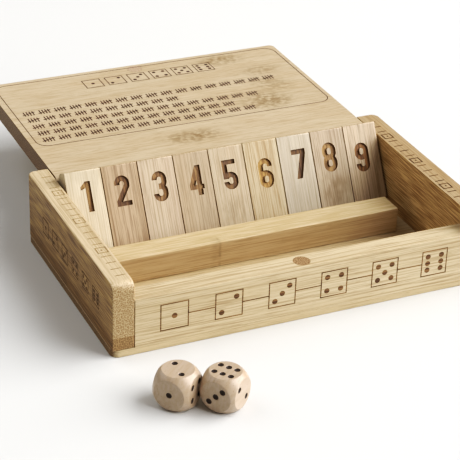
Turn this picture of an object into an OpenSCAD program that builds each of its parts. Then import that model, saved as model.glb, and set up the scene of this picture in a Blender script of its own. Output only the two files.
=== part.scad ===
// Shut the box game: an open bamboo case with nine flip-down number tiles, a lid and two dice.
// The case stands on z = 0, centred on x and y. The front wall faces -y, and the open lid lies towards +y.

/* [Case] */
// Width of the case, left to right
case_w = 188; // [160:1:240]
// Depth of the case, front to back
case_d = 115; // [112:1:150]
// Thickness of the base board
base_t = 3.5; // [3:0.5:6]
// Radius of the base board's corners in plan
base_corner_r = 4; // [1:0.5:8]
// Thickness of the two side walls
side_t = 10.5; // [8:0.5:14]
// Thickness of the front wall
front_t = 10.5; // [9.5:0.5:16]
// Thickness of the rear wall
rear_t = 10.5; // [8:0.5:12]
// Radius of the roundover at the top front of each side wall
side_nose_r = 4; // [1:0.5:8]
// Radius of the side walls' outer rear corners in plan
side_rear_r = 3.5; // [1:0.5:7]

/* [Divider rail] */
// Width of the rail, front to back
rail_d = 13.9; // [10:0.1:18]
// Height of the rail above the base board
rail_h = 13.1; // [9:0.1:18]
// Gap between each end of the rail and the side wall
rail_end_gap = 8.8; // [0:0.2:20]

/* [Lid] */
// Thickness of the lid board
lid_t = 9; // [8:0.5:12]
// Gap between the lid's underside and the wall that it lies on
lid_seat_gap = 0.1; // [0.05:0.05:0.5]
// Gap between the top of the folded tiles and the rims that the closed lid lies over
lid_over_tiles = 0.8; // [0.3:0.1:4]
// Gap between each side of the lid and the side wall
lid_side_gap = 0.4; // [0.2:0.1:1]
// Distance from the hinge pins to the lid's round rear edge
lid_tail = 6.2; // [6:0.1:7]
// How far the closed lid's rear edge stays in front of the rear face
lid_setback = 0.5; // [0:0.1:2]
// Radius of the lid's two free corners in plan
lid_corner_r = 3; // [1:0.5:8]
// Diameter of each lid hinge pin
pin_d = 3; // [2:0.5:4]
// Length of each hinge pin inside the side wall
pin_in_wall = 6; // [4:0.5:7]
// Length of each hinge pin inside the lid
pin_in_lid = 9; // [5:0.5:15]
// Radial clearance of a turning piece on its pin or rod
running_gap = 0.08; // [0.04:0.01:0.1]
// Free depth left behind a pin or rod at the bottom of its hole
hole_extra = 0.5; // [0.2:0.1:1]
// Clearance of the rear wall's groove round the lid's turning edge
groove_gap = 0.4; // [0.3:0.1:0.8]

/* [Closing magnets] */
// Diameter of the magnets and of the wooden plugs over them
magnet_d = 8; // [6:0.5:8]
// Thickness of each magnet
magnet_t = 2; // [1:0.5:3]
// Thickness of each wooden plug
plug_t = 3; // [1:0.5:4]
// Distance of the magnets from the middle of the front wall
magnet_x = -1.5; // [-10:0.5:10]

/* [Tiles] */
// Gap between neighbouring tiles
tile_gap = 0.5; // [0.3:0.1:1]
// Gap between the first tile and the left side wall
tile_gap_left = 1.4; // [0.5:0.1:3]
// Gap between the last tile and the right side wall
tile_gap_right = 1; // [0.5:0.1:3]
// Thickness of a tile
tile_t = 10; // [9:0.1:12]
// Length of a tile above its rod
tile_above = 24.1; // [23:0.1:26]
// Height of a tile's foot above the base board while the tile hangs straight down
foot_gap = 2.4; // [2:0.1:6]
// Angle at which a standing tile leans back
tile_lean = 29; // [27:0.5:30]
// Distance from a tile's front face to the middle of its rod hole
rod_in = 3.5; // [3.3:0.1:4]
// Diameter of the tile rod
rod_d = 3; // [2:0.2:3.2]
// Length of the rod inside each side wall
rod_in_wall = 6; // [4:0.5:7]
// Gap between a standing tile and the lid edge that it leans on
lean_gap = 0.3; // [0.3:0.1:1]
// Gap between a folded tile and the rail under it
fold_gap = 0.1; // [0.05:0.05:0.5]
// How far the top of a folded tile reaches over the rail
fold_rest = 2.7; // [1:0.1:8]
// Radius of a tile's top front edge
tile_arris_r = 0.8; // [0.2:0.1:1.5]
// Radius of a tile's top rear edge
tile_top_r = 4; // [1:0.5:4.5]
// Radius of a tile's bottom rear edge
tile_foot_r = 3; // [1:0.5:4]

/* [Tile numbers] */
// Height of a number
digit_h = 14.5; // [10:0.5:16]
// Width of a number
digit_w = 7.4; // [6:0.2:10]
// Width of a number's strokes
digit_stroke = 2.6; // [1.5:0.1:2.8]
// Distance of the row of numbers to the right of the tiles' middles
digit_right = 0.5; // [-2:0.1:2]
// Depth of the carving
digit_depth = 1; // [0.4:0.1:1.2]
// Distance from the top of the first tile to the top of its number
digit_drop = 5.6; // [3:0.2:8]

/* [Dice] */
// Edge of a die
die_s = 16.8; // [15:0.1:20]
// Diameter of the ball that rounds a die's corners, as a multiple of its edge
die_ball = 1.3; // [1.28:0.02:1.6]
// Diameter of a pip where it opens in the face
pip_d = 2.8; // [1.5:0.1:3]
// Depth of a pip
pip_depth = 0.7; // [0.4:0.1:1.2]
// Distance of the outer pips from the middle of a face, to the side and up
pip_step = 3.1; // [2:0.1:3.4]
// Distance of the end pips of a six from its middle pips
six_step = 3.9; // [3:0.1:4]
// Distance of the two rows of a six from the middle of the face
six_row = 2.8; // [1.8:0.1:3]
// Distance of the first die's middle from the left side of the case
dice_from_left = 13.7; // [10:0.1:140]
// Distance of the first die's middle from the front of the case
dice_from_front = 40.7; // [20:0.1:80]
// Gap between the two dice
dice_gap = 1.3; // [1:0.1:20]
// How far the second die is set to the right along the first one's side
dice_shift = 7.9; // [0:0.1:20]
// Turn of the first die about the vertical
die_1_turn = 41.2; // [35:0.1:45]
// Turn of the second die about the vertical
die_2_turn = 37.6; // [35:0.1:45]

/* [Hidden] */
tile_count = 9;
// The numbers aren't carved quite in line: how far each one sits below the row, and to its right
digit_lower = [0, 0, 1, 1.2, 1.2, 3.5, 1.9, 1.2, 4];
digit_aside = [0.5, -0.5, 0, 0.4, 0, 0.4, 0.8, -0.8, -1.4];
$fn = 64;
eps = 0.01;

front_y = -case_d / 2;
rear_y = case_d / 2;
inner_x = case_w / 2 - side_t;
rail_top_z = base_t + rail_h;

// The front and rear walls are just high enough for the lid to close over the folded tiles
wall_h = rail_h + fold_gap + tile_t + lid_over_tiles;
rim_z = base_t + wall_h;
lid_z = rim_z + lid_seat_gap;
top_z = lid_z + lid_t;
magnet_y = front_t / 2;

// Hinge line of the lid, and the line that its round edge is centred on while it lies open
hinge_y = rear_y - lid_setback - lid_tail;
hinge_z = lid_z + lid_t / 2;
edge_y = hinge_y - (lid_tail - lid_t / 2);
lid_reach = hinge_y - front_y;

// Rod line of the tiles: high enough for a folded tile to lie on the rail, and so far
// in front of the open lid's edge that a standing tile's rear face meets it at the lean angle
rod_z = rail_top_z + fold_gap + rod_in;
lean_out = lid_t / 2 + lean_gap + tile_t - rod_in;
rod_y = edge_y - (lean_out + (hinge_z - rod_z) * sin(tile_lean)) / cos(tile_lean);
rod_hole_d = rod_d + 2 * running_gap;
tile_below = rod_z - base_t - foot_gap;

// The rail's rear face lies under the tops of the folded tiles
rail_rear_y = rod_y - tile_above + fold_rest;

tile_row_w = 2 * inner_x - tile_gap_left - tile_gap_right;
tile_pitch = (tile_row_w + tile_gap) / tile_count;
tile_w = tile_pitch - tile_gap;

die_1_at = [-case_w / 2 + dice_from_left, front_y - dice_from_front];
die_2_at = [die_1_at[0] + dice_shift * cos(die_1_turn) + (die_s + dice_gap) * sin(die_1_turn),
            die_1_at[1] + dice_shift * sin(die_1_turn) - (die_s + dice_gap) * cos(die_1_turn)];

bamboo = "burlywood";
burnt = "saddlebrown";

// A square corner to take off so that an arc of radius r is left
module corner_waste(r) {
    difference() {
        translate([-1, -1])
            square(r + 1);
        translate([r, r])
            circle(r);
    }
}

// A bar of the given width and height with fully round or partly round corners, centred
module rounded_bar(w, h, r) {
    translate([-w / 2 + r, -h / 2])
        square([w - 2 * r, h]);
    translate([-w / 2, -h / 2 + r])
        square([w, h - 2 * r]);
    for (x = [-1, 1], y = [-1, 1])
        translate([x * (w / 2 - r), y * (h / 2 - r)])
            circle(r);
}

// Base board
module base_board() {
    color(bamboo)
        linear_extrude(base_t)
            rounded_bar(case_w, case_d, base_corner_r);
}

// Side wall on the left, outer face at -case_w / 2
module side_wall() {
    rod_hole_depth = rod_in_wall + hole_extra;
    pin_hole_depth = pin_in_wall + hole_extra;
    difference() {
        translate([-case_w / 2, front_y, base_t])
            cube([side_t, case_d, top_z - base_t]);
        translate([-case_w / 2 - 1, front_y, top_z])
            rotate([90, 0, 90])
                linear_extrude(side_t + 2)
                    mirror([0, 1])
                        corner_waste(side_nose_r);
        translate([-case_w / 2, rear_y, base_t - 1])
            linear_extrude(top_z)
                mirror([0, 1])
                    corner_waste(side_rear_r);
        translate([-inner_x - rod_hole_depth, rod_y, rod_z])
            rotate([0, 90, 0])
                cylinder(h = rod_hole_depth + 1, d = rod_d);
        translate([-inner_x - pin_hole_depth, hinge_y, hinge_z])
            rotate([0, 90, 0])
                cylinder(h = pin_hole_depth + 1, d = pin_d);
    }
}

module left_wall() {
    color(bamboo)
        side_wall();
}

module right_wall() {
    color(bamboo)
        mirror([1, 0, 0])
            side_wall();
}

// Front wall, with a bore for its magnet and plug
module front_wall() {
    color(bamboo)
        difference() {
            translate([-inner_x, front_y, base_t])
                cube([2 * inner_x, front_t, wall_h]);
            translate([magnet_x, front_y + magnet_y, rim_z - plug_t - magnet_t])
                cylinder(h = plug_t + magnet_t + 1, d = magnet_d);
        }
}

// Rear wall, grooved along its top for the lid's turning edge
module rear_wall() {
    color(bamboo)
        difference() {
            translate([-inner_x, rear_y - rear_t, base_t])
                cube([2 * inner_x, rear_t, wall_h]);
            translate([-inner_x - 1, hinge_y, hinge_z])
                rotate([0, 90, 0])
                    cylinder(h = 2 * inner_x + 2, r = lid_tail + groove_gap);
        }
}

// Divider rail between the dice tray and the tiles
module divider_rail() {
    color(bamboo)
        translate([-inner_x + rail_end_gap, rail_rear_y - rail_d, base_t])
            cube([2 * (inner_x - rail_end_gap), rail_d, rail_h]);
}

// Rod that the tiles turn on
module tile_rod() {
    color("silver")
        translate([-inner_x - rod_in_wall, rod_y, rod_z])
            rotate([0, 90, 0])
                cylinder(h = 2 * (inner_x + rod_in_wall), d = rod_d);
}

// Hinge pins of the lid, fixed in the side walls
module hinge_pin() {
    translate([-inner_x - pin_in_wall, hinge_y, hinge_z])
        rotate([0, 90, 0])
            cylinder(h = pin_in_wall + lid_side_gap + pin_in_lid, d = pin_d);
}

module left_hinge_pin() {
    color("silver")
        hinge_pin();
}

module right_hinge_pin() {
    color("silver")
        mirror([1, 0, 0])
            hinge_pin();
}

// Magnet and plug: the plug's open end lies at the height given, below or above the magnet
module front_magnet() {
    color("silver")
        translate([magnet_x, front_y + magnet_y, rim_z - plug_t - magnet_t])
            cylinder(h = magnet_t, d = magnet_d);
}

module front_magnet_plug() {
    color(bamboo)
        translate([magnet_x, front_y + magnet_y, rim_z - plug_t])
            cylinder(h = plug_t, d = magnet_d);
}

// The lid lies open, so its magnet sits as far behind the hinge line as the front one is before it
lid_magnet_y = hinge_y + lid_reach - magnet_y;

module lid_magnet() {
    color("silver")
        translate([magnet_x, lid_magnet_y, top_z - plug_t - magnet_t])
            cylinder(h = magnet_t, d = magnet_d);
}

module lid_magnet_plug() {
    color(bamboo)
        translate([magnet_x, lid_magnet_y, top_z - plug_t])
            cylinder(h = plug_t, d = magnet_d);
}

// Lid board, lying open with its inner face up
module lid_board() {
    lid_w = 2 * (inner_x - lid_side_gap);
    pin_hole_depth = pin_in_lid + hole_extra;
    color(bamboo)
        difference() {
            union() {
                translate([-lid_w / 2, edge_y, hinge_z])
                    rotate([0, 90, 0])
                        cylinder(h = lid_w, d = lid_t);
                translate([-lid_w / 2, edge_y, lid_z])
                    cube([lid_w, hinge_y + lid_reach - edge_y, lid_t]);
            }
            for (side = [0, 1])
                mirror([side, 0, 0]) {
                    translate([-lid_w / 2, hinge_y + lid_reach, lid_z - 1])
                        linear_extrude(lid_t + 2)
                            mirror([0, 1])
                                corner_waste(lid_corner_r);
                    translate([-lid_w / 2 - 1, hinge_y, hinge_z])
                        rotate([0, 90, 0])
                            cylinder(h = pin_hole_depth + 1, d = pin_d + 2 * running_gap);
                }
            translate([magnet_x, lid_magnet_y, top_z - plug_t - magnet_t])
                cylinder(h = plug_t + magnet_t + 1, d = magnet_d);
        }
}

// Outline of a tile seen from its right side: x runs from front to rear, y from foot to top
module tile_outline() {
    difference() {
        translate([-rod_in, -tile_below])
            square([tile_t, tile_below + tile_above]);
        translate([tile_t - rod_in, tile_above])
            rotate(180)
                corner_waste(tile_top_r);
        translate([-rod_in, tile_above])
            rotate(-90)
                corner_waste(tile_arris_r);
        translate([tile_t - rod_in, -tile_below])
            rotate(90)
                corner_waste(tile_foot_r);
        circle(d = rod_hole_d);
    }
}

// The round part of a number: a ring of the stroke's width, h high, with its foot at y
module ring_stroke(y, h) {
    difference() {
        translate([0, y + h / 2])
            rounded_bar(digit_w, h, digit_w / 2 - eps);
        translate([0, y + h / 2])
            rounded_bar(digit_w - 2 * digit_stroke, h - 2 * digit_stroke, digit_w / 2 - digit_stroke - eps);
    }
}

// Numbers 1 to 9, drawn from the middle of their foot
module digit(n) {
    w = digit_w / 2;
    h = digit_h;
    s = digit_stroke;
    // Height of the upper and lower ring where two of them share one stroke
    half = (h + s) / 2;
    if (n == 1) {
        translate([-s / 2 + 0.6, 0])
            square([s, h]);
        polygon([[-s / 2 + 0.7, h], [-s / 2 + 0.7, h - s * 1.1], [-w + 0.6, h - s * 1.5],
                 [-w + 0.6, h - s * 0.9]]);
    }
    if (n == 2) {
        intersection() {
            ring_stroke(h - digit_w, digit_w);
            polygon([[-w, h - w - 0.6], [-s / 2, h - w - 0.6], [0, h - w], [w, h - w - 1.2], [w, h], [-w, h]]);
        }
        polygon([[-w, 0], [-w, s], [w - s, h - w - 0.6], [w, h - w - 0.6], [w - 0.2, h - w - 2],
                 [-w + s * 1.1, s * 0.8], [-w + s * 1.1, 0]]);
        translate([-w, 0])
            square([digit_w, s * 0.85]);
    }
    if (n == 3) {
        difference() {
            union() {
                ring_stroke(h - half, half);
                ring_stroke(0, half);
            }
            translate([-w - 1, s * 1.5])
                square([w + 0.4, h - 3 * s]);
        }
    }
    if (n == 4) {
        translate([w - s * 1.35, 0])
            square([s, h]);
        translate([-w, h * 0.2])
            square([digit_w, s * 0.85]);
        polygon([[-w, h * 0.2], [-w, h * 0.2 + s], [w - s * 1.35, h], [w - s * 0.6, h],
                 [w - s * 0.8, h * 0.72], [-w + s * 0.95, h * 0.2 + s * 0.5]]);
    }
    if (n == 5) {
        translate([-w, h - s * 0.85])
            square([digit_w - 0.4, s * 0.85]);
        translate([-w, half * 0.62])
            square([s, h - half * 0.62]);
        difference() {
            ring_stroke(0, half);
            translate([-w - 1, s * 1.5])
                square([w + 0.4, half * 0.62 - s * 1.5]);
        }
    }
    if (n == 6) {
        ring_stroke(0, half);
        difference() {
            ring_stroke(0, h);
            translate([0.2, half - s])
                square([w + 1, h - half - s * 0.6]);
        }
    }
    if (n == 7) {
        translate([-w, h - s * 0.9])
            square([digit_w, s * 0.9]);
        polygon([[w, h], [w, h - s * 0.9], [-w + s * 1.55, 0], [-w + s * 0.45, 0], [w - s * 1.1, h - s]]);
    }
    if (n == 8) {
        ring_stroke(h - half, half);
        ring_stroke(0, half);
    }
    if (n == 9)
        translate([0, h])
            rotate(180)
                digit(6);
}

// One standing tile, counted from the left
module tile(n) {
    color(bamboo)
        translate([-inner_x + tile_gap_left + (n - 1) * tile_pitch, rod_y, rod_z])
            rotate([-tile_lean, 0, 0])
                difference() {
                    rotate([90, 0, 90])
                        linear_extrude(tile_w)
                            tile_outline();
                    translate([tile_w / 2 + digit_right + digit_aside[n - 1], -rod_in + digit_depth,
                               tile_above - digit_drop - digit_lower[n - 1] - digit_h])
                        rotate([90, 0, 0])
                            linear_extrude(digit_depth + 1)
                                digit(n);
                }
}

module tile_1() tile(1);
module tile_2() tile(2);
module tile_3() tile(3);
module tile_4() tile(4);
module tile_5() tile(5);
module tile_6() tile(6);
module tile_7() tile(7);
module tile_8() tile(8);
module tile_9() tile(9);

// The pips of one face: a ball sinks each into the face that looks towards +z
module face_pips(count) {
    pip_r = (pip_d * pip_d / 4 + pip_depth * pip_depth) / (2 * pip_depth);
    across = count == 6 ? six_row : pip_step;
    along = count == 6 ? six_step : pip_step;
    spots = concat(
        count % 2 == 1 ? [[0, 0]] : [],
        count > 1 ? [[-1, -1], [1, 1]] : [],
        count > 3 ? [[-1, 1], [1, -1]] : [],
        count == 6 ? [[-1, 0], [1, 0]] : []);
    for (spot = spots)
        translate([spot[0] * across, spot[1] * along, die_s / 2 - pip_depth + pip_r])
            sphere(pip_r, $fn = 48);
}

// A die with the given numbers on top, to its front left and to its front right
module die(at, turn, top, left, right) {
    color("tan")
        translate([at[0], at[1], die_s / 2])
            rotate(turn)
                difference() {
                    intersection() {
                        cube(die_s, center = true);
                        sphere(d = die_s * die_ball, $fn = 96);
                    }
                    face_pips(top);
                    rotate([180, 0, 0])
                        face_pips(7 - top);
                    rotate([0, -90, 0])
                        mirror([1, 0, 0])
                            face_pips(left);
                    rotate([0, 90, 0])
                        face_pips(7 - left);
                    rotate([90, 0, 0])
                        mirror([1, 0, 0])
                            face_pips(right);
                    rotate([-90, 0, 0])
                        face_pips(7 - right);
                }
}

module die_1() {
    die(die_1_at, die_1_turn, 2, 1, 4);
}

module die_2() {
    die(die_2_at, die_2_turn, 6, 3, 2);
}

base_board();
left_wall();
right_wall();
front_wall();
rear_wall();
divider_rail();
tile_rod();
left_hinge_pin();
right_hinge_pin();
front_magnet();
front_magnet_plug();
lid_board();
lid_magnet();
lid_magnet_plug();
tile_1();
tile_2();
tile_3();
tile_4();
tile_5();
tile_6();
tile_7();
tile_8();
tile_9();
die_1();
die_2();
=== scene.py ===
# %% [markdown]
# # A bamboo dice game with nine flip-down tiles
# The case, the lid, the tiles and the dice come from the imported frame, with their real sizes. This lesson
# gives them their looks: softened edges, bamboo with its fibres and joints, carved and burnt marks,
# and light.

# %% Load the frame
import math
import bmesh
import bpy
from mathutils import Matrix, Vector


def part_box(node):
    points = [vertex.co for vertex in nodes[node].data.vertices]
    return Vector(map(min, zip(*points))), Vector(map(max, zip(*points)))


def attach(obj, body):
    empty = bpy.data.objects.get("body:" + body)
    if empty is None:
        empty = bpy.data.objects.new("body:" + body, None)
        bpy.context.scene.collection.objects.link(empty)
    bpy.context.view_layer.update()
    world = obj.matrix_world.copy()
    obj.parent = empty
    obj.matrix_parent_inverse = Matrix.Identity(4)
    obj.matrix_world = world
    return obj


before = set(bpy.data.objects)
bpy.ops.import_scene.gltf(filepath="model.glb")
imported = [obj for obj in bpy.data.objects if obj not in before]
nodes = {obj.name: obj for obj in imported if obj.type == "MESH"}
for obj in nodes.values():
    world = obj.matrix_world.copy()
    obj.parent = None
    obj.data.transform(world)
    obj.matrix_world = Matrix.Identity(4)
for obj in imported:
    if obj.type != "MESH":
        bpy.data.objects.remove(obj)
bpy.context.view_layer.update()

MM = 0.001

# %% [markdown]
# Colours are written as the hex values that a paint program shows, and were adjusted until the render
# came close to the photograph. Blender's shaders work in linear light, so one function turns each value
# to linear, and everything that has a colour goes through it.

# %% Colour helper
def linear(hex_value):
    """An sRGB hex colour such as 'd9c08f' as the linear colour that shaders use."""
    channels = [int(hex_value[i:i + 2], 16) / 255 for i in (0, 2, 4)]
    return tuple(c / 12.92 if c <= 0.04045 else ((c + 0.055) / 1.055) ** 2.4 for c in channels) + (1.0,)


print("pale bamboo in linear light:", [round(c, 3) for c in linear("c9b698")])

# %% [markdown]
# Every material below is a tree of nodes. One small function adds a node with its settings and links, so a
# material reads from top to bottom like a recipe. A value that is a socket is linked, and any other is set.

# %% Node helper
def add(tree, kind, sockets=None, **settings):
    """Adds a node, sets its own settings, and sets or links its input sockets."""
    node = tree.nodes.new(kind)
    for key, value in settings.items():
        setattr(node, key, value)
    for key, value in (sockets or {}).items():
        if isinstance(value, bpy.types.NodeSocket):
            tree.links.new(value, node.inputs[key])
        else:
            node.inputs[key].default_value = value
    return node


def new_material(name):
    """An empty material with a Principled shader, and its tree and shader."""
    material = bpy.data.materials.new(name)
    material.use_nodes = True
    tree = material.node_tree
    tree.nodes.clear()
    shader = add(tree, "ShaderNodeBsdfPrincipled")
    add(tree, "ShaderNodeOutputMaterial", {"Surface": shader.outputs["BSDF"]})
    return material, tree, shader


print("helpers ready")

# %% [markdown]
# The camera stands in front of the case, to its left and above it, with a long lens that keeps the
# edges nearly parallel. Its place and turn were worked out from the straight edges of the case.

# %% Camera
CAMERA_PLACE = Vector((-318.66, -655.24, 414.83)) * MM
YAW, PITCH, ROLL = (math.radians(a) for a in (25.006, 28.718, 1.998))
SENSOR_WIDTH = 36.0
FOCAL_PIXELS, FRAME_PIXELS = 1746.59, 460

forward = Vector((math.sin(YAW) * math.cos(PITCH), math.cos(YAW) * math.cos(PITCH), -math.sin(PITCH)))
level_right = Vector((math.cos(YAW), -math.sin(YAW), 0))
level_up = level_right.cross(forward)
right = level_right * math.cos(ROLL) + level_up * math.sin(ROLL)
up = level_up * math.cos(ROLL) - level_right * math.sin(ROLL)

camera = bpy.data.objects.new("camera", bpy.data.cameras.new("camera"))
camera.data.sensor_width = SENSOR_WIDTH
camera.data.lens = FOCAL_PIXELS / FRAME_PIXELS * SENSOR_WIDTH
turn = Matrix((right, up, -forward)).transposed().to_4x4()
camera.matrix_world = Matrix.Translation(CAMERA_PLACE) @ turn
bpy.context.scene.collection.objects.link(camera)
bpy.context.scene.camera = camera
print("lens, mm:", round(camera.data.lens, 2))

# %% [markdown]
# The light is that of a small studio: one large soft lamp, high on the right and a little in front, as a
# window would be, a weak one behind on the left, and a weak surround. So the right wall shades the tray
# and the last tiles, and the sides that face left are dim. The tone curves are the camera's: they keep
# the lights and make the shade a little deeper and warmer.

# %% Light
LOOK_AT = Vector((0, 0.01, 0.02))
LAMP_DIRECTION = Vector((0.72, -0.33, 0.54))
BACK_DIRECTION = Vector((-0.55, 0.5, 0.67))
LAMP_DISTANCE = 4.0


def soft_lamp(name, place, size, power, colour):
    """A square area lamp that faces the middle of the case."""
    lamp = bpy.data.objects.new(name, bpy.data.lights.new(name, "AREA"))
    lamp.data.size = size
    lamp.data.energy = power
    lamp.data.color = linear(colour)[:3]
    lamp.location = Vector(place)
    lamp.rotation_euler = (LOOK_AT - lamp.location).to_track_quat("-Z", "Y").to_euler()
    bpy.context.scene.collection.objects.link(lamp)
    return lamp


soft_lamp("window_lamp", LOOK_AT + LAMP_DIRECTION.normalized() * LAMP_DISTANCE, 4.8, 432, "ffffff")
soft_lamp("back_lamp", LOOK_AT + BACK_DIRECTION.normalized() * LAMP_DISTANCE, 3.8, 64, "ffffff")

world = bpy.data.worlds.new("studio_surround")
world.use_nodes = True
surround = world.node_tree.nodes["Background"]
surround.inputs["Color"].default_value = linear("fffaf2")
surround.inputs["Strength"].default_value = 0.25
bpy.context.scene.world = world

view = bpy.context.scene.view_settings
view.view_transform = "Standard"
view.use_curve_mapping = True
CURVES = {3: ((0.05, 0.031), (0.12, 0.083), (0.25, 0.218), (0.45, 0.448)),
          1: ((0.05, 0.044), (0.12, 0.112), (0.25, 0.247)),
          2: ((0.03, 0.022), (0.08, 0.066), (0.18, 0.168), (0.3, 0.298))}
for channel, points in CURVES.items():
    for brightness, shown in points:
        view.curve_mapping.curves[channel].points.new(brightness, shown)
view.curve_mapping.update()

# %% [markdown]
# The game stands on a plain pale surface that is large enough to fill the picture.

# %% Floor
floor_mesh = bpy.data.meshes.new("floor")
HALF_FLOOR = 3.0
corners = [(x * HALF_FLOOR, y * HALF_FLOOR, -0.02 * MM) for x, y in ((-1, -1), (1, -1), (1, 1), (-1, 1))]
floor_mesh.from_pydata(corners, [], [(0, 1, 2, 3)])
floor = bpy.data.objects.new("floor", floor_mesh)
bpy.context.scene.collection.objects.link(floor)
material, tree, shader = new_material("matt_backdrop_paper")
shader.inputs["Base Color"].default_value = linear("d5d5d4")
shader.inputs["Roughness"].default_value = 0.9
floor_mesh.materials.append(material)
print("floor:", floor.name)

# %% [markdown]
# Sawn and sanded wood has no knife-sharp edges: a few strokes of sandpaper round each arris by about half a
# millimetre, and that small round catches the light as a bright line. A bevel modifier does this without
# changing the mesh itself. Points that lie on each other are joined first, and flat faces are made whole.

# %% Soften the arrises
def soften(name, width_mm, segments=3):
    """Rounds a CAD piece's sharp edges with modifiers."""
    piece = nodes[name]
    weld = piece.modifiers.new("join_points", "WELD")
    weld.merge_threshold = 0.002 * MM
    whole = piece.modifiers.new("whole_faces", "DECIMATE")
    whole.decimate_type = "DISSOLVE"
    whole.angle_limit = math.radians(0.4)
    round_edge = piece.modifiers.new("sanded_arris", "BEVEL")
    round_edge.width = width_mm * MM
    round_edge.segments = segments
    round_edge.limit_method = "ANGLE"
    round_edge.angle_limit = math.radians(38)
    round_edge.harden_normals = True


ARRIS = {"base_board": 0.4, "left_wall": 1.1, "right_wall": 1.1, "front_wall": 0.4, "rear_wall": 0.4,
         "divider_rail": 0.6, "lid_board": 0.7}
ARRIS.update({f"tile_{n}": 0.3 for n in range(1, 10)})
ARRIS.update({f"die_{n}": 0.35 for n in (1, 2)})
for name, width in ARRIS.items():
    soften(name, width)
print("softened:", len(ARRIS))

# %% [markdown]
# ## Bamboo
# Bamboo board is made of planed strips, glued side by side. Along the grain it shows fine parallel fibres,
# and every strip has its own tone. Across the cut ends it shows the fibre bundles as brown dots. Here and
# there a strip crosses a joint of the cane, which leaves a mottled brown patch.
#
# All of this follows from three distances inside the board: along the grain, across it and through it.
# They are measured in millimetres from the piece's own coordinates, so the pattern moves with the piece.
# Real fibre bundles are about 0.3 mm thick, too fine for the picture, so they are drawn about 0.6 mm wide.

# %% Distances and streaks
def grain_distances(tree, along, across, origin=(0, 0, 0)):
    """Three sockets: the distance in mm along, across and through the grain, measured from the origin."""
    place = add(tree, "ShaderNodeTexCoord").outputs["Object"]
    start = Vector(origin) * MM
    offset = add(tree, "ShaderNodeVectorMath", {0: place, 1: start}, operation="SUBTRACT").outputs[0]
    axes = (Vector(along), Vector(across), Vector(along).cross(Vector(across)))
    dots = (add(tree, "ShaderNodeVectorMath", {0: offset, 1: axis / MM}, operation="DOT_PRODUCT")
            for axis in axes)
    return [dot.outputs["Value"] for dot in dots]


def streaks(tree, distances, sizes_mm, seed, start, full, strength=1.0, detail=2.0):
    """Streaks of a length, width and depth in mm: 0 where the noise is under start, strength over full."""
    u, v, w = (add(tree, "ShaderNodeMath", {0: d, 1: 1 / s}, operation="MULTIPLY").outputs[0]
               for d, s in zip(distances, sizes_mm))
    spot = add(tree, "ShaderNodeCombineXYZ", {"X": u, "Y": v, "Z": w}).outputs[0]
    noise = add(tree, "ShaderNodeTexNoise", {"Vector": spot, "W": seed, "Scale": 1.0, "Detail": detail},
                noise_dimensions="4D").outputs["Fac"]
    return add(tree, "ShaderNodeMapRange", {"Value": noise, "From Min": start, "From Max": full,
               "To Max": strength}, interpolation_type="SMOOTHSTEP").outputs["Result"]


def side_mask(tree, axis):
    """1 on the faces that look along the axis, either way, and 0 on the others."""
    normal = add(tree, "ShaderNodeTexCoord").outputs["Normal"]
    facing = add(tree, "ShaderNodeVectorMath", {0: normal, 1: axis},
                 operation="DOT_PRODUCT").outputs["Value"]
    facing = add(tree, "ShaderNodeMath", {0: facing}, operation="ABSOLUTE").outputs[0]
    return add(tree, "ShaderNodeMapRange", {"Value": facing, "From Min": 0.55, "From Max": 0.85},
               interpolation_type="SMOOTHSTEP").outputs["Result"]


print("grain helpers ready")

# %% [markdown]
# The bamboo recipe takes the tones of a board and its grain direction. Broad blots shift the tone, long
# thin lines draw the fibres, short dark dashes are the bundles, and each glued strip is a little lighter or
# darker than the next. Sanded and lightly oiled bamboo is matt to satin, so its roughness is about 0.5.
# The broad sides of a wall or rail can have two tones of their own, in fine lines. On the rail they are
# cut from another layer of the cane than its edges; on the left wall they are painted shade, and on the
# right wall painted light. The foot of a side wall is a darker strip.

# %% The bamboo recipe
# The joint brown also paints the low patch on tile 8, which is partly painted shade.
END_TONES, JOINT_AND_SHADE_BROWN, FOOT_TINT = ("b39f7e", "8d724e"), "806848", "dccfbe"
BROAD_COVER = 0.9
SPECK_LENGTH, SPECK_WIDTH = 8.7, 2.2
BUNDLES_PER_MM = 1.35
FIBRE_HEIGHT = 0.08


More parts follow.
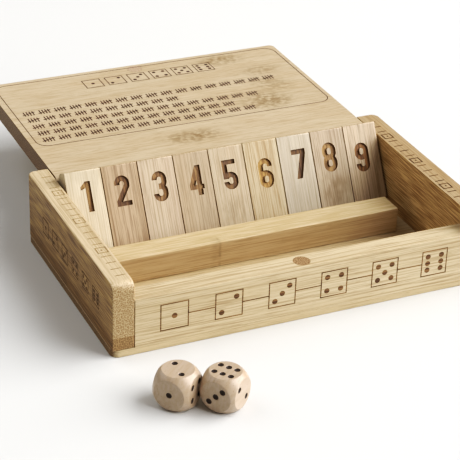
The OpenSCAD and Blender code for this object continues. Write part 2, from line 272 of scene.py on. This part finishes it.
def bamboo(name, along, across, tones, seed, run=1.0, lines=0.5, strip_mm=30.0, joints=(), broad=None,
           ends=END_TONES, low_band_mm=None, origin=(0, 0, 0)):
    """Sanded bamboo in a light, middle and dark tone. run scales the length of the fibres, lines sets how
    dark they are, and joints are (along, across, half length, half width, strength), in mm. broad and ends
    are the two tones of the broad sides and of the end grain."""
    material, tree, shader = new_material(name)
    u, v, w = distances = grain_distances(tree, along, across, origin)
    light, middle, dark = (linear(tone) for tone in tones)
    fine = streaks(tree, distances, (36 * run, 0.55, 0.55), seed + 7, 0.46, 0.6, 0.6)
    coats = [(streaks(tree, distances, (120 * run, 10, 10), seed, 0.36, 0.64, 0.9, 1.0), middle),
             (streaks(tree, distances, (80 * run, 0.9, 0.9), seed + 3, 0.46, 0.64, 0.8 * lines), dark),
             (fine, light),
             (streaks(tree, distances, (28 * run, 0.6, 0.6), seed + 5, 0.54, 0.62, 0.8 * lines), dark),
             (streaks(tree, distances, (7, 0.5, 0.5), seed + 11, 0.58, 0.66, 0.5 * lines), dark)]
    colour = light
    for amount, tone in coats:
        colour = add(tree, "ShaderNodeMix", {0: amount, 6: colour, 7: tone}, data_type="RGBA").outputs[2]

    strip = add(tree, "ShaderNodeMath", {0: v, 1: 1 / strip_mm}, operation="MULTIPLY").outputs[0]
    strip = add(tree, "ShaderNodeMath", {0: strip}, operation="FLOOR").outputs[0]
    strip = add(tree, "ShaderNodeMath", {0: strip, 1: seed + 0.5}, operation="ADD").outputs[0]
    strip = add(tree, "ShaderNodeTexWhiteNoise", {"W": strip}, noise_dimensions="1D").outputs["Value"]
    tone = add(tree, "ShaderNodeMapRange", {"Value": strip, "To Min": 0.95,
               "To Max": 1.03}).outputs["Result"]
    tone = add(tree, "ShaderNodeCombineXYZ", {"X": tone, "Y": tone, "Z": tone}).outputs[0]
    colour = add(tree, "ShaderNodeMix", {0: 1.0, 6: colour, 7: tone}, data_type="RGBA",
                 blend_type="MULTIPLY").outputs[2]
    if broad:
        fibres = streaks(tree, distances, (16, 0.5, 0.5), seed + 31, 0.4, 0.6)
        layer = add(tree, "ShaderNodeMix", {0: fibres, 6: linear(broad[0]), 7: linear(broad[1])},
                    data_type="RGBA").outputs[2]
        mask = side_mask(tree, Vector(along).cross(Vector(across)))
        mask = add(tree, "ShaderNodeMath", {0: mask, 1: BROAD_COVER}, operation="MULTIPLY").outputs[0]
        colour = add(tree, "ShaderNodeMix", {0: mask, 6: colour, 7: layer}, data_type="RGBA").outputs[2]

    for number, (along_mm, across_mm, half_length, half_width, strength) in enumerate(joints):
        offset = add(tree, "ShaderNodeCombineXYZ", {"X": u, "Y": v}).outputs[0]
        offset = add(tree, "ShaderNodeVectorMath", {0: offset, 1: (along_mm, across_mm, 0)},
                     operation="SUBTRACT").outputs[0]
        offset = add(tree, "ShaderNodeVectorMath", {0: offset, 1: (half_length, half_width, 1)},
                     operation="DIVIDE").outputs[0]
        reach = add(tree, "ShaderNodeVectorMath", {0: offset}, operation="LENGTH").outputs["Value"]
        patch = add(tree, "ShaderNodeMapRange", {"Value": reach, "From Min": 0.2, "From Max": 1.0,
                    "To Min": strength, "To Max": 0.0}, interpolation_type="SMOOTHSTEP").outputs["Result"]
        speck_mm = (SPECK_LENGTH * run, SPECK_WIDTH, SPECK_WIDTH)
        mottle = streaks(tree, distances, speck_mm, seed + 17 + number, 0.3, 0.66, 1.0, 4.0)
        patch = add(tree, "ShaderNodeMath", {0: patch, 1: mottle}, operation="MULTIPLY").outputs[0]
        colour = add(tree, "ShaderNodeMix", {0: patch, 6: colour, 7: linear(JOINT_AND_SHADE_BROWN)},
                     data_type="RGBA").outputs[2]

    section = add(tree, "ShaderNodeCombineXYZ", {"X": v, "Y": w}).outputs[0]
    dots = add(tree, "ShaderNodeTexVoronoi", {"Vector": section, "Scale": BUNDLES_PER_MM,
               "Randomness": 0.8}, voronoi_dimensions="2D").outputs["Distance"]
    ground = add(tree, "ShaderNodeMapRange", {"Value": dots, "From Min": 0.2, "From Max": 0.55},
                 interpolation_type="SMOOTHSTEP").outputs["Result"]
    end_grain = add(tree, "ShaderNodeMix", {0: ground, 6: linear(ends[1]), 7: linear(ends[0])},
                    data_type="RGBA").outputs[2]
    colour = add(tree, "ShaderNodeMix", {0: side_mask(tree, along), 6: colour, 7: end_grain},
                 data_type="RGBA").outputs[2]
    if low_band_mm:
        band = add(tree, "ShaderNodeMapRange", {"Value": v, "From Min": low_band_mm - 0.3,
                   "From Max": low_band_mm + 0.3, "To Min": 1.0, "To Max": 0.0}).outputs["Result"]
        colour = add(tree, "ShaderNodeMix", {0: band, 6: colour, 7: linear(FOOT_TINT)}, data_type="RGBA",
                     blend_type="MULTIPLY").outputs[2]

    rough = add(tree, "ShaderNodeMapRange", {"Value": fine, "From Max": 0.5, "To Min": 0.58,
                "To Max": 0.46})
    bump = add(tree, "ShaderNodeBump", {"Height": fine, "Strength": 0.3, "Distance": FIBRE_HEIGHT * MM})
    tree.links.new(colour, shader.inputs["Base Color"])
    tree.links.new(rough.outputs["Result"], shader.inputs["Roughness"])
    tree.links.new(bump.outputs["Normal"], shader.inputs["Normal"])
    shader.inputs["IOR"].default_value = 1.5
    return material, tree, shader, colour, distances


def dress(name, material):
    """Gives a CAD piece one material in all its slots."""
    mesh = nodes[name].data
    if not mesh.materials:
        mesh.materials.append(material)
    for slot in nodes[name].material_slots:
        slot.material = material


print("bamboo recipe ready")

# %% [markdown]
# The long boards of the case run from left to right, and the two side walls run from front to back, so
# their front ends show the dotted end grain. The base board and the lid have darker, browner ends: painted
# shade for their left ends, which face away from the lamp. The left wall's broad sides are painted darker
# as shade on its outer face, and the right wall's broad sides lighter as painted light on its shaded inner
# face. The lid is a wide board with short fibres and a few cane joints, and the rail has one joint.

# %% Case and lid boards
X, Y, Z = (1, 0, 0), (0, 1, 0), (0, 0, 1)
FOOT_TOP = 10.0
# The left wall's broad tones are dark as painted shade on its outer face, which faces away from the lamp.
LEFT_SIDES_WITH_PAINTED_SHADE = {"broad": ("aa8c58", "684923"), "low_band_mm": FOOT_TOP}
# The right wall's broad tones are light as painted light on its shaded inner face.
RIGHT_SIDES_WITH_PAINTED_LIGHT = {"broad": ("d9bc87", "997442"), "low_band_mm": FOOT_TOP}
BOARDS = {
    # The base board's dark ends are painted shade for its left end, which faces away from the lamp.
    "base_board": (X, Y, ("c0ae8d", "b7a17c", "8f7651"), 1.0, {"ends": ("866d49", "694d2b")}),
    "front_wall": (X, Z, ("c7b798", "beac8b", "8f734f"), 5.0, {"lines": 0.6}),
    "rear_wall": (X, Z, ("bcaa86", "b39d75", "8d734d"), 9.0, {}),
    "divider_rail": (X, Y, ("c5ae8b", "bba07b", "93754c"), 13.0,
                     {"joints": ((-20.5, -6, 1.0, 7, 0.5), (-22.5, -3.5, 4, 6, 0.35)), "lines": 0.5,
                      "broad": ("c7b594", "b5a079")}),
    "left_wall": (Y, Z, ("c4b294", "b9a482", "947b56"), 17.0, LEFT_SIDES_WITH_PAINTED_SHADE),
    "right_wall": (Y, Z, ("b09b7d", "a58b68", "795f3f"), 21.0, RIGHT_SIDES_WITH_PAINTED_LIGHT),
    # The lid's dark ends are painted shade for its left end.
    "lid_board": (X, Y, ("bdac91", "b5a184", "957d5c"), 25.0,
                  {"run": 0.3, "lines": 0.4, "strip_mm": 20.0,
                   "joints": ((-4, 66, 21, 10, 0.85), (49, 92, 20, 14, 0.85), (62, 129, 15, 9, 0.55),
                              (47, 149, 19, 9, 0.8), (60, 110, 16, 14, 0.5)),
                   "ends": ("7a613f", "5a4128")})}
for name, (along, across, tones, seed, features) in BOARDS.items():
    dress(name, bamboo(f"sanded_bamboo_{name}", along, across, tones, seed, **features)[0])
print("boards dressed:", len(BOARDS))

# %% [markdown]
# The plugs are short dowels that close the magnets' bores. Their grain stands upright, so their round tops
# are end grain. The front one is darker than the board around it, and the lid's one is nearly as pale.

# %% Plugs
DOWEL_TONES = ("a68b65", "9c7e56", "7d5f3b")
PLUGS = {"front_magnet_plug": (29.0, ("a28767", "7d6142")),
         "lid_magnet_plug": (31.0, ("b9a48d", "a48b72"))}
for name, (seed, ends) in PLUGS.items():
    dress(name, bamboo(f"dowel_end_grain_{name}", Z, X, DOWEL_TONES, seed, ends=ends)[0])
print("plugs dressed")

# %% [markdown]
# Rod and hinge pins are drawn steel, and the magnets have a nickel coat. Both are metals, so metallic is 1
# and the colour is that of the reflection. Fine lines along the rod come from the drawing die.

# %% Steel and nickel
LINE_TONE = "7f8184"


def drawn_metal(name, colour, roughness, seed):
    """A metal with fine lines along x."""
    material, tree, shader = new_material(name)
    lines = streaks(tree, grain_distances(tree, X, Y), (30, 0.2, 0.2), seed, 0.4, 0.65)
    shade = add(tree, "ShaderNodeMix", {0: lines, 6: linear(colour), 7: linear(LINE_TONE)},
                data_type="RGBA")
    rough = add(tree, "ShaderNodeMapRange", {"Value": lines, "To Min": roughness - 0.06,
                "To Max": roughness + 0.08})
    tree.links.new(shade.outputs[2], shader.inputs["Base Color"])
    tree.links.new(rough.outputs["Result"], shader.inputs["Roughness"])
    shader.inputs["Metallic"].default_value = 1.0
    return material


steel = drawn_metal("drawn_steel_rod", "adafb0", 0.32, 33.0)
for name in ("tile_rod", "left_hinge_pin", "right_hinge_pin"):
    dress(name, steel)
nickel = drawn_metal("nickel_plated_magnet", "bfbebb", 0.2, 37.0)
for name in ("front_magnet", "lid_magnet"):
    dress(name, nickel)
print("metals dressed")

# %% [markdown]
# ## Tiles
# The tiles are cut from thinner strips, each from another cane, so no two have the same tone. Their grain
# runs up the tile, which leans back. The numbers are cut 1 mm deep and the cutter scorches the wood, so the
# floor of each figure is mid brown. The walls of each figure are dark, partly for the scorch and partly as
# painted shade, and the floor is painted darkest where it meets the walls, a painted shade. The recess is
# found by its depth behind the front face, within the box that holds the number, so the colour keeps to
# the carving exactly. Wood counts as cut when it lies further behind the face than its thin skin. How
# closed in a spot of the floor is tells how near it is to a wall, and so how much painted shade it gets.
# Tiles 5 and 8 show a cane joint low on their fronts; the brown patch on tile 8 is partly painted shade
# from the right wall.

# %% Tile tones and carved numbers
LEAN = math.radians(29)
ROD = (0, 29.583821, 20.2)
TILE_UP = (0, math.sin(LEAN), math.cos(LEAN))
FRONT_FACE, CUT_DEPTH, SKIN = -3.5, 1.0, 0.12
# The dark tone of the carved walls is partly scorch and partly painted shade.
SCORCHED_AND_SHADED_WALL_TONE = "604024"
NUMBER_BOTTOM, NUMBER_TOP, NUMBER_HALF = -0.8, 19.2, 6.5
TILES = {
    1: (("cbbea5", "c4b598", "aa9674"), 0.5, "7d5c36", "a68657"),
    2: (("b59f84", "a89174", "7d6348"), 0.7, "604226", "87653d"),
    3: (("c5b49b", "bda991", "998166"), 0.6, "715131", "98754b"),
    4: (("b5a288", "ad987d", "8b7559"), 0.6, "795937", "9f7e53"),
    5: (("c0b096", "b8a488", "967e5f"), 0.55, "614327", "87653d"),
    6: (("beaf91", "b6a281", "93734c"), 0.65, "926c39", "ba975b"),
    7: (("c4b9a6", "bbae99", "9b8b73"), 0.5, "543921", "7d5b35"),
    8: (("baa991", "b09c84", "876f56"), 0.65, "826139", "a98755"),
    9: (("c7b59c", "bba68c", "8a7258"), 0.7, "6e4928", "956b3b")}
# Tile, distance above the rod, half length and strength of each joint
# Tile 8's joint is partly a darker cane joint and partly painted shade from the right wall.
TILE_JOINTS_AND_SHADE = ((5, -7, 9, 0.45), (8, -6, 13, 0.7))
JOINT_HALF_WIDTH = 12


def tile_material(number):
    """Bamboo for one tile, with its carved number scorched and painted with shade."""
    tones, lines, burnt_and_shade_dark, burnt_light = TILES[number]
    low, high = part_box(f"tile_{number}")
    middle = (low.x + high.x) / 2 / MM
    joints = [(joint_up, middle, half_length, JOINT_HALF_WIDTH, strength)
              for tile, joint_up, half_length, strength in TILE_JOINTS_AND_SHADE if tile == number]
    material, tree, shader, colour, distances = bamboo(
        f"carved_bamboo_tile_{number}", TILE_UP, X, tones, 40.0 + 4 * number, run=0.8, lines=lines,
        strip_mm=9.0, joints=joints, origin=ROD)
    up_mm, across_mm, through_mm = distances
    sideways = add(tree, "ShaderNodeMath", {0: across_mm, 1: middle}, operation="SUBTRACT").outputs[0]
    sideways = add(tree, "ShaderNodeMath", {0: sideways}, operation="ABSOLUTE").outputs[0]
    depth = add(tree, "ShaderNodeMath", {0: through_mm, 1: FRONT_FACE}, operation="SUBTRACT").outputs[0]
    inside = 1.0
    for value, test, limit in ((depth, "GREATER_THAN", SKIN), (depth, "LESS_THAN", CUT_DEPTH + 0.15),
                               (sideways, "LESS_THAN", NUMBER_HALF),
                               (up_mm, "GREATER_THAN", NUMBER_BOTTOM), (up_mm, "LESS_THAN", NUMBER_TOP)):
        passed = add(tree, "ShaderNodeMath", {0: value, 1: limit}, operation=test).outputs[0]
        inside = add(tree, "ShaderNodeMath", {0: inside, 1: passed}, operation="MULTIPLY").outputs[0]
    scorch = streaks(tree, distances, (9, 0.9, 0.9), 90.0 + number, 0.42, 0.6)
    floor_tone = add(tree, "ShaderNodeMix", {0: scorch, 6: linear(burnt_and_shade_dark), 7: linear(burnt_light)},
                     data_type="RGBA").outputs[2]
    # Painted shade: the floor of a figure is darkened where ambient occlusion finds its walls close by.
    recess_shade_occlusion = add(tree, "ShaderNodeAmbientOcclusion", {"Distance": 0.9 * MM}, samples=8,
                   only_local=True).outputs["AO"]
    edge = add(tree, "ShaderNodeMapRange", {"Value": recess_shade_occlusion, "From Min": 0.55, "From Max": 0.95,
               "To Min": 0.55, "To Max": 0.0}).outputs["Result"]
    floor_tone = add(tree, "ShaderNodeMix", {0: edge, 6: floor_tone, 7: linear(burnt_and_shade_dark)},
                     data_type="RGBA").outputs[2]
    on_floor = add(tree, "ShaderNodeMapRange", {"Value": depth, "From Min": 0.75 * CUT_DEPTH,
                   "From Max": 0.97 * CUT_DEPTH}).outputs["Result"]
    # The walls of a figure get the dark tone, which is partly scorch and partly painted shade.
    tone = add(tree, "ShaderNodeMix", {0: on_floor, 6: linear(SCORCHED_AND_SHADED_WALL_TONE), 7: floor_tone},
               data_type="RGBA").outputs[2]
    colour = add(tree, "ShaderNodeMix", {0: inside, 6: colour, 7: tone}, data_type="RGBA").outputs[2]
    tree.links.new(colour, shader.inputs["Base Color"])
    return material


for number in TILES:
    dress(f"tile_{number}", tile_material(number))
print("through axis of a tile:", Vector(TILE_UP).cross(Vector(X)))

# %% [markdown]
# ## Dice
# The dice are turned from a pale close-grained wood: a cube whose corners are rounded in a tumbler or by a
# ball-shaped cutter, which leaves a flat disc on every face. The pips are drilled and filled with dark
# paint. A pip is found by how far it lies behind the flat face, close to the middle of that face.

# %% Dice material
DIE_HALF, PIP_ZONE, PIP_DEPTH = 8.4, 6.4, 0.7
DIE_TONE, PIP_PAINT = "b6a38f", "251916"


def dice_material(name, body_middle, turn_degrees, seed):
    """Smooth pale wood with dark pips, for a die turned about the vertical."""
    material, tree, shader = new_material(name)
    a = math.radians(turn_degrees)
    sides, fronts = (math.cos(a), math.sin(a), 0), (-math.sin(a), math.cos(a), 0)
    x, y, z = distances = grain_distances(tree, sides, fronts, body_middle)
    rings = streaks(tree, distances, (12, 1.2, 2.4), seed, 0.36, 0.64)
    specks = streaks(tree, distances, (2.4, 0.6, 0.6), seed + 5, 0.6, 0.74, 0.4, 1.0)
    colour = linear(DIE_TONE)
    for amount, tone in ((rings, "b09b84"), (specks, "887058")):
        colour = add(tree, "ShaderNodeMix", {0: amount, 6: colour, 7: linear(tone)},
                     data_type="RGBA").outputs[2]

    size = [add(tree, "ShaderNodeMath", {0: d}, operation="ABSOLUTE").outputs[0] for d in (x, y, z)]
    inside = 0.0
    for i in range(3):
        others = [size[j] for j in range(3) if j != i]
        spread = add(tree, "ShaderNodeCombineXYZ", {"X": others[0], "Y": others[1]}).outputs[0]
        spread = add(tree, "ShaderNodeVectorMath", {0: spread}, operation="LENGTH").outputs["Value"]
        hit = add(tree, "ShaderNodeMath", {0: spread, 1: PIP_ZONE}, operation="LESS_THAN").outputs[0]
        for test, limit in (("LESS_THAN", DIE_HALF - SKIN), ("GREATER_THAN", DIE_HALF - PIP_DEPTH - 0.3)):
            passed = add(tree, "ShaderNodeMath", {0: size[i], 1: limit}, operation=test).outputs[0]
            hit = add(tree, "ShaderNodeMath", {0: hit, 1: passed}, operation="MULTIPLY").outputs[0]
        inside = add(tree, "ShaderNodeMath", {0: inside, 1: hit}, operation="MAXIMUM").outputs[0]
    colour = add(tree, "ShaderNodeMix", {0: inside, 6: colour, 7: linear(PIP_PAINT)},
                 data_type="RGBA").outputs[2]
    rough = add(tree, "ShaderNodeMapRange", {"Value": inside, "To Min": 0.32,
                "To Max": 0.85}).outputs["Result"]
    tree.links.new(colour, shader.inputs["Base Color"])
    tree.links.new(rough, shader.inputs["Roughness"])
    shader.inputs["IOR"].default_value = 1.5
    shader.inputs["Coat Weight"].default_value = 0.25
    shader.inputs["Coat Roughness"].default_value = 0.28
    return material


for name, turned, seed in (("die_1", 41.2, 101.0), ("die_2", 37.6, 107.0)):
    low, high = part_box(name)
    middle = [(low[i] + high[i]) / 2 / MM for i in range(3)]
    dress(name, dice_material(f"tumbled_hardwood_{name}", middle, turned, seed))
    print(name, "middle, mm:", [round(m, 2) for m in middle])

# %% [markdown]
# ## Burnt marks
# A laser draws thin lines into the boards by scorching them, which leaves them brown and hardly any deeper.
# Each set of marks is one thin piece of closed strips and discs that lies in the surface and stands
# proud by a few hundredths of a millimetre. The marks here are plain ones: dice faces, ticks, tally
# strokes and a border.

# %% Strips and discs on a surface
SUNK, PROUD, DISC_SIDES = 0.06, 0.03, 16


def burnt_marks(name, body, corner, right_axis, up_axis, lines, discs, material, width=0.5):
    """Marks on a flat face: lines (x0, y0, x1, y1) and discs (x, y, radius), in mm from the corner."""
    mesh = bpy.data.meshes.new(name)
    shapes = bmesh.new()
    r, u = Vector(right_axis), Vector(up_axis)
    out = r.cross(u)

    def prism(outline):
        flat = [Vector(corner) + r * x + u * y for x, y in outline]
        under, over = ([shapes.verts.new((point + out * h) * MM) for point in flat]
                       for h in (-SUNK, PROUD))
        shapes.faces.new(list(reversed(under)))
        shapes.faces.new(over)
        for i in range(len(outline)):
            j = (i + 1) % len(outline)
            shapes.faces.new((under[i], under[j], over[j], over[i]))

    for x0, y0, x1, y1 in lines:
        step = Vector((x1 - x0, y1 - y0)).normalized()
        side, tip = Vector((-step.y, step.x)) * width / 2, step * width / 2
        a, b = Vector((x0, y0)) - tip, Vector((x1, y1)) + tip
        prism([a - side, b - side, b + side, a + side])
    for x, y, radius in discs:
        angles = [math.tau * k / DISC_SIDES for k in range(DISC_SIDES)]
        prism([(x + radius * math.cos(angle), y + radius * math.sin(angle)) for angle in angles])
    shapes.to_mesh(mesh)
    shapes.free()
    mesh.materials.append(material)
    piece = bpy.data.objects.new(name, mesh)
    bpy.context.scene.collection.objects.link(piece)
    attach(piece, body)
    return piece


DIAGONAL, CORNERS = [(-1, -1), (1, 1)], [(-1, -1), (1, 1), (-1, 1), (1, -1)]
PIPS = {1: [(0, 0)], 2: DIAGONAL, 3: DIAGONAL + [(0, 0)], 4: CORNERS, 5: CORNERS + [(0, 0)],
        6: CORNERS + [(-1, 0), (1, 0)]}
PIP_SPREAD = 0.27


def dice_face(x, y, size, count, pip_radius):
    """The outline and pips of a plain dice face, centred on x and y."""
    h = size / 2
    lines = [(x - h, y - h, x + h, y - h), (x + h, y - h, x + h, y + h), (x + h, y + h, x - h, y + h),
             (x - h, y + h, x - h, y - h)]
    reach = size * PIP_SPREAD
    return lines, [(x + px * reach, y + py * reach, pip_radius) for px, py in PIPS[count]]


def scorched(name, light, dark, along, across, seed):
    """Scorched wood: brown, with the fibres showing through as lighter lines."""
    material, tree, shader = new_material(name)
    fibres = streaks(tree, grain_distances(tree, along, across), (14, 0.8, 0.8), seed, 0.42, 0.62)
    tone = add(tree, "ShaderNodeMix", {0: fibres, 6: linear(dark), 7: linear(light)}, data_type="RGBA")
    tree.links.new(tone.outputs[2], shader.inputs["Base Color"])
    shader.inputs["Roughness"].default_value = 0.75
    return material


print("mark helpers ready")

# %% [markdown]
# The front wall has a row of six dice faces, joined by a line. The left and right walls have smaller faces
# on their outsides, and ticks with a dotted square now and then along their tops, near the inner edge.

# %% Marks on the walls
FRONT_BURN = scorched("laser_scorched_front_wall_lines", "866542", "513620", X, Z, 121.0)
SIDE_BURN = scorched("laser_scorched_side_wall_lines", "715638", "4c3520", Y, Z, 123.0)
FAINT_BURN = scorched("laser_scorched_left_wall_top_lines", "a0865f", "7c6343", Y, X, 125.0)
CLEAR_BURN = scorched("laser_scorched_right_wall_top_lines", "64482a", "3f2a18", X, Y, 126.0)
low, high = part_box("front_wall")
lines, discs = [], []
FACE, FIRST, STEP, MID = 13.0, 18.5, 26.0, 12.4
for i in range(6):
    x = FIRST + STEP * i
    face_lines, face_discs = dice_face(x, MID, FACE, i + 1, 1.35)
    lines += face_lines
    discs += face_discs
    if i < 5:
        lines.append((x + FACE / 2, MID, x + STEP - FACE / 2, MID))
burnt_marks("front_wall_marks", "case", low / MM, X, Z, lines, discs, FRONT_BURN)

SIDE_FACE, SIDE_FIRST, SIDE_STEP, SIDE_MID = 7.8, 27.0, 13.5, 16.5
TICK_FIRST, TICK_STEP, TICK_START, TICK_LENGTH = 8.0, 5.8, 1.6, 4.2
TICKS, SQUARE_EVERY = 18, 5
for side, name in ((-1, "left_wall"), (1, "right_wall")):
    low, high = (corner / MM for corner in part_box(name))
    corner = (low.x, high.y, low.z) if side < 0 else (high.x, low.y, low.z)
    lines, discs = [], []
    for i in range(6):
        face_lines, face_discs = dice_face(SIDE_FIRST + SIDE_STEP * i, SIDE_MID, SIDE_FACE, i + 1, 0.95)
        lines += face_lines
        discs += face_discs
    burnt_marks(f"{name}_outer_marks", "case", corner, (0, side, 0), Z, lines, discs, SIDE_BURN)
    inner = high.x - low.x if side < 0 else 0
    near, far = sorted((inner + side * TICK_START, inner + side * (TICK_START + TICK_LENGTH)))
    lines, discs = [], []
    for i in range(TICKS):
        y = TICK_FIRST + TICK_STEP * i
        if i % SQUARE_EVERY == SQUARE_EVERY - 1:
            face_lines, face_discs = dice_face((near + far) / 2, y, TICK_LENGTH + 0.4, 1, 0.5)
            lines += face_lines
            discs += face_discs
        else:
            lines.append((near, y, far, y))
    top_burn, width = (FAINT_BURN, 0.45) if side < 0 else (CLEAR_BURN, 0.65)
    burnt_marks(f"{name}_top_marks", "case", (low.x, low.y, high.z), X, Y, lines, discs, top_burn, width)
print("wall marks made")

# %% [markdown]
# The lid's inner face has a thin border with rounded corners, a short row of dice faces near its far edge,
# and five rows of tally marks, as for keeping score: groups of four strokes, with a fifth across them.

# %% Marks on the lid
LID_BURN = scorched("laser_scorched_lid_marks", "563934", "382322", X, Y, 127.0)
low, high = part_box("lid_board")
lid_top = high.z / MM
LEFT, RIGHT, NEAR, FAR, ROUND = -79.7, 80.6, 80.6, 156.0, 6.0
ARC_STEPS = 6
lines = []
for cx, cy, start in ((RIGHT - ROUND, FAR - ROUND, 0), (LEFT + ROUND, FAR - ROUND, 90),
                      (LEFT + ROUND, NEAR + ROUND, 180), (RIGHT - ROUND, NEAR + ROUND, 270)):
    angles = [math.radians(start + 90 / ARC_STEPS * k) for k in range(ARC_STEPS + 1)]
    arc = [(cx + ROUND * math.cos(angle), cy + ROUND * math.sin(angle)) for angle in angles]
    lines += [(*arc[k], *arc[k + 1]) for k in range(ARC_STEPS)]
lines += [(LEFT + ROUND, NEAR, RIGHT - ROUND, NEAR), (LEFT + ROUND, FAR, RIGHT - ROUND, FAR),
          (LEFT, NEAR + ROUND, LEFT, FAR - ROUND), (RIGHT, NEAR + ROUND, RIGHT, FAR - ROUND)]
burnt_marks("lid_border", "lid", (0, 0, lid_top), X, Y, lines, [], LID_BURN, 0.4)

LID_FACE, LID_FIRST, LID_STEP, LID_MID = 9.6, -29.0, 12.7, 143.4
lines, discs = [], []
for i in range(6):
    face_lines, face_discs = dice_face(LID_FIRST + LID_STEP * i, LID_MID, LID_FACE, i + 1, 0.95)
    lines += face_lines
    discs += face_discs
burnt_marks("lid_dice_row", "lid", (0, 0, lid_top), X, Y, lines, discs, LID_BURN, 0.45)

TALLY_START, TALLY_STEP, STROKE_STEP, STROKE = -75.0, 8.4, 1.55, 2.1
CROSS_REACH, CROSS_RISE = 0.9, 1.2
# Place of each row, and how many groups it has
TALLY_ROWS = ((119, 17), (111, 10), (103, 15), (95.2, 13), (87.4, 14))
lines = []
for y, groups in TALLY_ROWS:
    for g in range(groups):
        x = TALLY_START + TALLY_STEP * g
        lines += [(x + STROKE_STEP * k, y - STROKE, x + STROKE_STEP * k, y + STROKE) for k in range(4)]
        last = x + 3 * STROKE_STEP
        lines.append((x - CROSS_REACH, y - CROSS_RISE, last + CROSS_REACH, y + CROSS_RISE))
burnt_marks("lid_tally_rows", "lid", (0, 0, lid_top), X, Y, lines, [], LID_BURN, 0.62)
print("lid marks made")

# %% Finish
bpy.context.view_layer.update()
